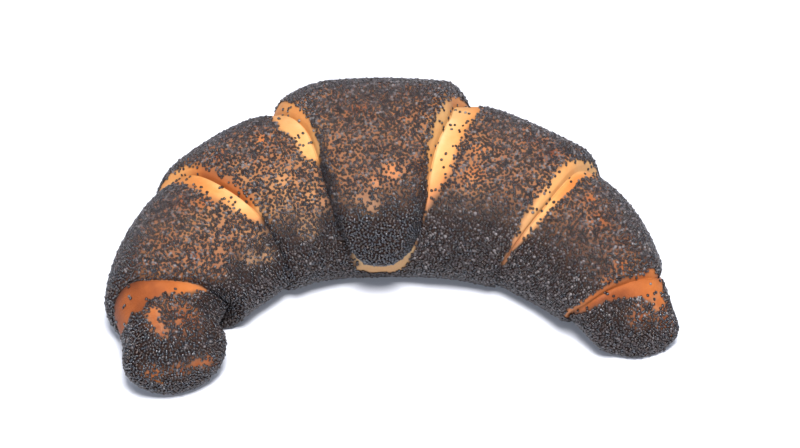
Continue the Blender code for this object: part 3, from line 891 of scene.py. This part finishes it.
def crust_corners(here, following, start, stop):
    """The corners of two triangles in each cell of the grid, and of a fan at each horn's end."""
    a, b, c, d = here[:-1], following[:-1], following[1:], here[1:]
    sides = np.stack([a, b, c, a, c, d], 2)
    first = np.stack([start, b[0], a[0]], 1)
    last = np.stack([stop, d[-1], c[-1]], 1)
    return np.concatenate([part.reshape(-1, *here.shape[2:]) for part in (sides, first, last)])


def crust_faces(rings, lines):
    """The triangles between the rings, and the two fans that close the horns' ends."""
    here = np.arange(rings * lines).reshape(rings, lines)
    ends = [np.full(lines, rings * lines + k) for k in (0, 1)]
    return crust_corners(here, np.roll(here, -1, 1), *ends).reshape(-1, 3)


def even_shares(points, axis):
    """Shares from 0 to 1 along one way of the grid, by the mean distance between its lines."""
    gaps = np.linalg.norm(np.diff(points, axis=axis), axis=-1).mean(1 - axis)
    return np.concatenate([[0], np.cumsum(gaps)]) / gaps.sum()


def crust_map(points):
    """The flat layout of the crust's triangles."""
    along = END_ROOM + (1 - 2 * END_ROOM) * even_shares(points, 0)
    flat = np.stack(np.meshgrid(along, even_shares(points, 1), indexing="ij"), -1)
    here, following = flat[:, :-1], flat[:, 1:]
    middle = (here[0] + following[0]) / 2 * (0, 1)
    return crust_corners(here, following, middle, middle + (1, 0))


def make_crust(grid):
    """The baked crust as one closed mesh, with its baking, dullness and painted shade as numbers for
    its material.
    """
    rings, lines = grid["turn"].shape[0], grid["turn"].shape[1] - 1
    ends = np.stack([surface(np.array(TURNS[k]), np.array(math.pi)) for k in (0, -1)])
    points = np.concatenate([grid["points"][:, :-1].reshape(-1, 3), ends])
    crust = mesh_of("crust", points, crust_faces(rings, lines))
    add_map(crust, crust_map(grid["points"]))
    cover, bare = seed_cover(grid)
    numbers = {
        "bake": bake_of(grid),
        "dull": dullness(grid, bare),
        "painted_shade": painted_shade(grid, cover, bare),
    }
    for name, values in numbers.items():
        at_ends = values[[0, -1], 0]
        add_values(crust, name, np.concatenate([values[:, :-1].ravel(), at_ends]))
    return crust


def unit(vectors):
    """The vectors, each at a length of 1."""
    return vectors / np.linalg.norm(vectors, axis=-1, keepdims=True)


def random_places(grid, draw, count):
    """Places on the crust, drawn evenly over its area, with what the grid says of each."""
    points = grid["points"]
    across = points[1:, 1:] - points[:-1, :-1]
    other = points[1:, :-1] - points[:-1, 1:]
    area = np.linalg.norm(np.cross(across, other), axis=-1)
    filled = np.cumsum(area.ravel())
    cell = np.searchsorted(filled, draw.uniform(0, filled[-1], count))
    ring, line = np.unravel_index(np.minimum(cell, area.size - 1), area.shape)
    u, v = draw.uniform(0, 1, (2, count))
    found = {}
    for name, values in grid.items():
        a, b = values[ring, line], values[ring, line + 1]
        c, d = values[ring + 1, line], values[ring + 1, line + 1]
        s, t = (u[:, None], v[:, None]) if values.ndim > 2 else (u, v)
        found[name] = a + (b - a) * t + ((c + (d - c) * t) - (a + (b - a) * t)) * s
        if name == "points":
            along = (c - a) * (1 - t) + (d - b) * t
            around = (b - a) * (1 - s) + (d - c) * s
            normal = np.cross(around, along)
    found["normal"] = unit(normal)
    return found


def spread_out(points, spacing):
    """The places that are kept, in turn, so that no two lie closer than the spacing."""
    cells = {}
    kept = []
    near = [(i, j, k) for i in (-1, 0, 1) for j in (-1, 0, 1) for k in (-1, 0, 1)]
    keys = np.floor(points / spacing).astype(int).tolist()
    for number, ((x, y, z), point) in enumerate(zip(keys, points.tolist())):
        around = (cells.get((x + i, y + j, z + k), ()) for i, j, k in near)
        if all(math.dist(point, other) >= spacing for cell in around for other in cell):
            cells.setdefault((x, y, z), []).append(point)
            kept.append(number)
    return np.array(kept)


def chosen(places, mask):
    """Only the places that the mask keeps."""
    return {name: values[mask] for name, values in places.items()}


def seed_places(grid):
    """Where the seeds lie: spread over the crust, fewer where it is thin, in one layer or two."""
    draw = np.random.default_rng(SEED_DRAW)
    tries = random_places(grid, draw, SEED_TRIES)
    tries = chosen(tries, tries["points"][:, 2] > SEED_LEAST_HEIGHT)
    tries = chosen(tries, tries["normal"][:, 2] > SEED_LEAST_FACING)
    seeds = chosen(tries, spread_out(tries["points"], SEED_SPACING))
    cover, bare = seed_cover(seeds)
    thin = np.clip(CLUMP_REACH * (1 - cover), 0, 1)
    cover = cover + layers_of_noise(seeds["points"], CLUMPS) * thin
    cover = np.maximum(cover, groove_share(seeds))
    cover = cover + (STRAY_COVER - cover) * bare
    seeds["cover"], seeds["bare"] = cover, bare
    seeds["lift"] = np.full(len(cover), SEED_LIFT)
    seeds = chosen(seeds, draw.uniform(0, 1, len(cover)) < cover)
    thick = chosen(seeds, seeds["cover"] > TOP_LEAST_COVER)
    top = chosen(thick, spread_out(thick["points"], TOP_SPACING))
    drift = draw.normal(0, SEED_SPACING / 2, top["points"].shape)
    drift -= (drift * top["normal"]).sum(-1, keepdims=True) * top["normal"]
    top["points"] = top["points"] + drift
    top["lift"] = np.full(len(top["cover"]), TOP_LIFT)
    return {name: np.concatenate([values, top[name]]) for name, values in seeds.items()}


def seed_tones(seeds, draw):
    """The tone of each seed, from 0, blue-black, to 1, dusty grey."""
    degrees = np.degrees(seeds["girth"])
    on_tongue = np.interp(degrees, TABLE_GIRTHS, np.array(TONGUE_TONE) / PERCENT)
    tone = np.where(seeds["tongue"] < 0, on_tongue, table_value(TONE, seeds))
    tone = np.where(seeds["bare"] > STRAY_LEAST_BARE, STRAY_TONE, tone)
    # Seeds in the deep creases get a darker tone: painted shade.
    tone = tone + (SHADED_GROOVE_TONE - tone) * groove_share(seeds)
    spread = np.interp(degrees, SPREAD_GIRTHS, TONE_SPREAD)
    return np.clip(tone + spread * draw.normal(0, 1, len(tone)), 0, 1)


def unit_seed():
    """A bead of unit size, bent like a kidney: its points, its faces and their flat layout."""
    around = np.arange(SEED_SIDES) * 2 * math.pi / SEED_SIDES
    points = [(-0.5, 0.0, 0.0), (0.5, 0.0, 0.0)]
    for latitude in (-SEED_RING_LATITUDE, SEED_RING_LATITUDE):
        x, radius = math.sin(latitude) / 2, math.cos(latitude) / 2
        points += [(x, radius * math.cos(a), radius * math.sin(a)) for a in around]
    points = np.array(points)
    points[:, 1] += SEED_BEND * points[:, 0] ** 2
    faces, corners = [], []
    for k in range(SEED_SIDES):
        following = (k + 1) % SEED_SIDES
        a, b = 2 + k, 2 + following
        c, d = b + SEED_SIDES, a + SEED_SIDES
        faces += [(0, b, a), (a, b, c), (a, c, d), (1, d, c)]
        low, high, middle = k, k + 1, k + 0.5
        corners += [(0, middle), (1, high), (1, low), (1, low), (1, high), (2, high)]
        corners += [(1, low), (2, high), (2, low), (3, middle), (2, low), (2, high)]
    layout = np.array(corners) / (3, SEED_SIDES)
    return points, np.array(faces), SEED_MAP_ROOM + (1 - 2 * SEED_MAP_ROOM) * layout


def seed_frames(seeds, draw):
    """Three directions for each seed: its length and width, turned any way, and nearly upright."""
    count = len(seeds["cover"])
    tilt = math.tan(SEED_TILT) * draw.normal(0, SEED_TILT_SPREAD, (count, 3))
    upright = unit(seeds["normal"] + tilt)
    length = unit(np.cross(upright, draw.normal(0, 1, (count, 3))))
    return np.stack([length, np.cross(upright, length), upright], 1)


def seed_piece(name, tone, frames, middle, size):
    """Some of the seeds as one mesh, with each seed's tone stored on its points."""
    shape, faces, layout = unit_seed()
    count = np.arange(len(tone))
    points = np.einsum("nvk,nkc->nvc", shape * size[:, None], frames) + middle[:, None]
    numbered = faces + (count * len(shape))[:, None, None]
    piece = mesh_of(name, points.reshape(-1, 3), numbered.reshape(-1, 3))
    side = math.ceil(math.sqrt(len(tone)))
    cell = np.stack([count % side, count // side], -1)
    add_map(piece, (cell[:, None] + layout) / side)
    add_values(piece, "tone", np.repeat(tone, len(shape)))
    return piece


def make_seeds(grid):
    """All the poppy seeds, one piece for each kind."""
    draw = np.random.default_rng(SEED_DRAW + 1)
    seeds = seed_places(grid)
    frames = seed_frames(seeds, draw)
    tone = seed_tones(seeds, draw)
    middle = seeds["points"] + seeds["normal"] * seeds["lift"][:, None]
    middle[:, 2] = np.maximum(middle[:, 2], SEED_FLOOR_GAP)
    size = np.array(SEED_SIZE) * (1 + draw.normal(0, SEED_VARIATION, (len(tone), 1)))
    pieces = {}
    for kind, (first, last, *_) in SEED_KINDS.items():
        mine = (tone >= first) & (tone < last)
        chosen_seeds = [values[mine] for values in (tone, frames, middle, size)]
        pieces[kind] = seed_piece(f"poppy_seeds_{kind}", *chosen_seeds)
    return pieces


def linear(colour):
    """A colour given as shares of the screen's red, green and blue, as light."""
    return (*Color(colour).from_srgb_to_scene_linear(), 1.0)


def new_material(name, roughness, gloss=None):
    """An empty node material: the material, its node tree and its shader."""
    material = bpy.data.materials.new(name)
    material.use_nodes = True
    shader = material.node_tree.nodes["Principled BSDF"]
    shader.inputs["Roughness"].default_value = roughness
    if gloss is not None:
        shader.inputs["Specular IOR Level"].default_value = gloss
    return material, material.node_tree, shader


def ramp_of(tree, share, stops):
    """A colour by a share, from a ramp with stops of place and colour."""
    ramp = tree.nodes.new("ShaderNodeValToRGB")
    elements = ramp.color_ramp.elements
    while len(elements) < len(stops):
        elements.new(0.5)
    for element, (position, colour) in zip(elements, stops):
        element.position = position
        element.color = linear(colour)
    tree.links.new(share, ramp.inputs["Fac"])
    return ramp.outputs["Color"]


def noise_of(tree, scale, detail):
    """Noise in the object's own space, with so many bumps to the metre."""
    where = tree.nodes.new("ShaderNodeTexCoord")
    noise = tree.nodes.new("ShaderNodeTexNoise")
    noise.inputs["Scale"].default_value = scale
    noise.inputs["Detail"].default_value = detail
    tree.links.new(where.outputs["Object"], noise.inputs["Vector"])
    return noise.outputs["Fac"]


def attribute_of(tree, name):
    """The number that the mesh stores under a name."""
    stored = tree.nodes.new("ShaderNodeAttribute")
    stored.attribute_name = name
    return stored.outputs["Fac"]


def mottled(tree, name, mottle):
    """The number that the mesh stores under a name, a little raised or lowered by noise."""
    strength, scale, detail = mottle
    centred = tree.nodes.new("ShaderNodeMath")
    centred.operation = "MULTIPLY_ADD"
    centred.inputs[1].default_value = strength
    centred.inputs[2].default_value = -strength / 2
    tree.links.new(noise_of(tree, scale, detail), centred.inputs[0])
    total = tree.nodes.new("ShaderNodeMath")
    total.operation = "ADD"
    tree.links.new(attribute_of(tree, name), total.inputs[0])
    tree.links.new(centred.outputs[0], total.inputs[1])
    return total.outputs[0]


def blend_to(tree, base, colour, share):
    """A colour blended towards another by a share from 0 to 1."""
    blend = tree.nodes.new("ShaderNodeMix")
    blend.data_type = "RGBA"
    factor, first, second = (blend.inputs[k] for k in MIX_COLOUR_INPUTS)
    second.default_value = linear(colour)
    tree.links.new(share, factor)
    tree.links.new(base, first)
    return blend.outputs[MIX_COLOUR_OUTPUT]


def add_bumps(tree, shader, bumps):
    """Small bumps in the surface."""
    height, scale, detail = bumps
    bump = tree.nodes.new("ShaderNodeBump")
    bump.inputs["Distance"].default_value = height
    tree.links.new(noise_of(tree, scale, detail), bump.inputs["Height"])
    tree.links.new(bump.outputs["Normal"], shader.inputs["Normal"])


def crust_material():
    """Baked dough: cream where it is pale, orange where it has browned, and painted shade between
    seeds and in deep creases.
    """
    material, tree, shader = new_material("baked_crust", CRUST_ROUGHNESS, CRUST_GLOSS)
    colour = ramp_of(tree, mottled(tree, "bake", CRUST_MOTTLE), BAKE_COLOURS)
    colour = blend_to(tree, colour, DULL_COLOUR, attribute_of(tree, "dull"))
    # Painted shade between the seeds, partly deeper seeds showing through, and in the deep creases.
    colour = blend_to(tree, colour, PAINTED_SHADE_COLOUR, attribute_of(tree, "painted_shade"))
    tree.links.new(colour, shader.inputs["Base Color"])
    add_bumps(tree, shader, CRUST_BUMPS)
    return material


def seed_material(kind):
    """Poppy seed: a dark bead with a netted skin, glossy where it is black and dull where dusty."""
    first, last, dark, light, roughness, gloss, gloss_colour = SEED_KINDS[kind]
    material, tree, shader = new_material(f"poppy_seed_{kind}", roughness, gloss)
    colour = ramp_of(tree, mottled(tree, "tone", SEED_MOTTLE), ((first, dark), (last, light)))
    tree.links.new(colour, shader.inputs["Base Color"])
    shader.inputs["Specular Tint"].default_value = linear(gloss_colour)
    add_bumps(tree, shader, SEED_NETTING)
    return material


def floor_material():
    """A matte floor of one pale colour."""
    material, _, shader = new_material("pale_floor", FLOOR_ROUGHNESS)
    shader.inputs["Base Color"].default_value = linear(FLOOR_COLOUR)
    return material


def make_floor():
    """A plain pale floor, wide enough to fill the view."""
    corners = np.array([(-1, -1, 0), (1, -1, 0), (1, 1, 0), (-1, 1, 0)], float) * FLOOR_HALF
    floor = mesh_of("floor", corners, np.array([(0, 1, 2, 3)]))
    floor.data.materials.append(floor_material())


def add_lamp(name, position, size, power, colour):
    """A soft square light that faces the roll."""
    light = bpy.data.lights.new(name, "AREA")
    light.shape = "SQUARE"
    light.size = size
    light.energy = power
    light.color = colour
    lamp = add_object(name, light)
    lamp.location = position
    lamp.rotation_euler = (-lamp.location).to_track_quat("-Z", "Y").to_euler()


def light_studio():
    """Bright light from above, weak light from the front and pale light from all round."""
    world = bpy.data.worlds.new("studio")
    world.use_nodes = True
    background = world.node_tree.nodes["Background"]
    background.inputs["Color"].default_value = (*ROOM_COLOUR, 1.0)
    background.inputs["Strength"].default_value = ROOM_STRENGTH
    bpy.context.scene.world = world
    for lamp in LAMPS:
        add_lamp(*lamp)
    bpy.context.scene.view_settings.view_transform = "Standard"


def add_camera():
    """A camera in front of the roll, high up, as in the photograph."""
    camera = bpy.data.cameras.new("camera")
    camera.lens = CAMERA_LENS
    camera.sensor_width = CAMERA_SENSOR
    camera.clip_start = CAMERA_NEAREST
    viewer = add_object("camera", camera)
    away = Vector((0, -math.cos(CAMERA_RISE), math.sin(CAMERA_RISE)))
    viewer.location = Vector(CAMERA_TARGET) + away * CAMERA_DISTANCE
    viewer.rotation_euler = (-away).to_track_quat("-Z", "Y").to_euler()
    bpy.context.scene.camera = viewer


def dress():
    """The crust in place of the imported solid, and the seeds on it, all on the one body."""
    grid = crust_grid()
    crust = make_crust(grid)
    crust.data.materials.append(crust_material())
    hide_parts(NODE)
    seeds = make_seeds(grid)
    for kind, piece in seeds.items():
        piece.data.materials.append(seed_material(kind))
    for piece in (crust, *seeds.values()):
        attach(piece, "root")


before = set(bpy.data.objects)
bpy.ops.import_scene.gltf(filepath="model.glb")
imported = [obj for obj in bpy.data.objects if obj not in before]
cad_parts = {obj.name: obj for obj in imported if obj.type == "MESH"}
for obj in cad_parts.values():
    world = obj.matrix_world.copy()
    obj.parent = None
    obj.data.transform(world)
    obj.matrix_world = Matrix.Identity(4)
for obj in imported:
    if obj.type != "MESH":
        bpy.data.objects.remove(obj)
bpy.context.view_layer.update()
dress()
make_floor()
light_studio()
add_camera()
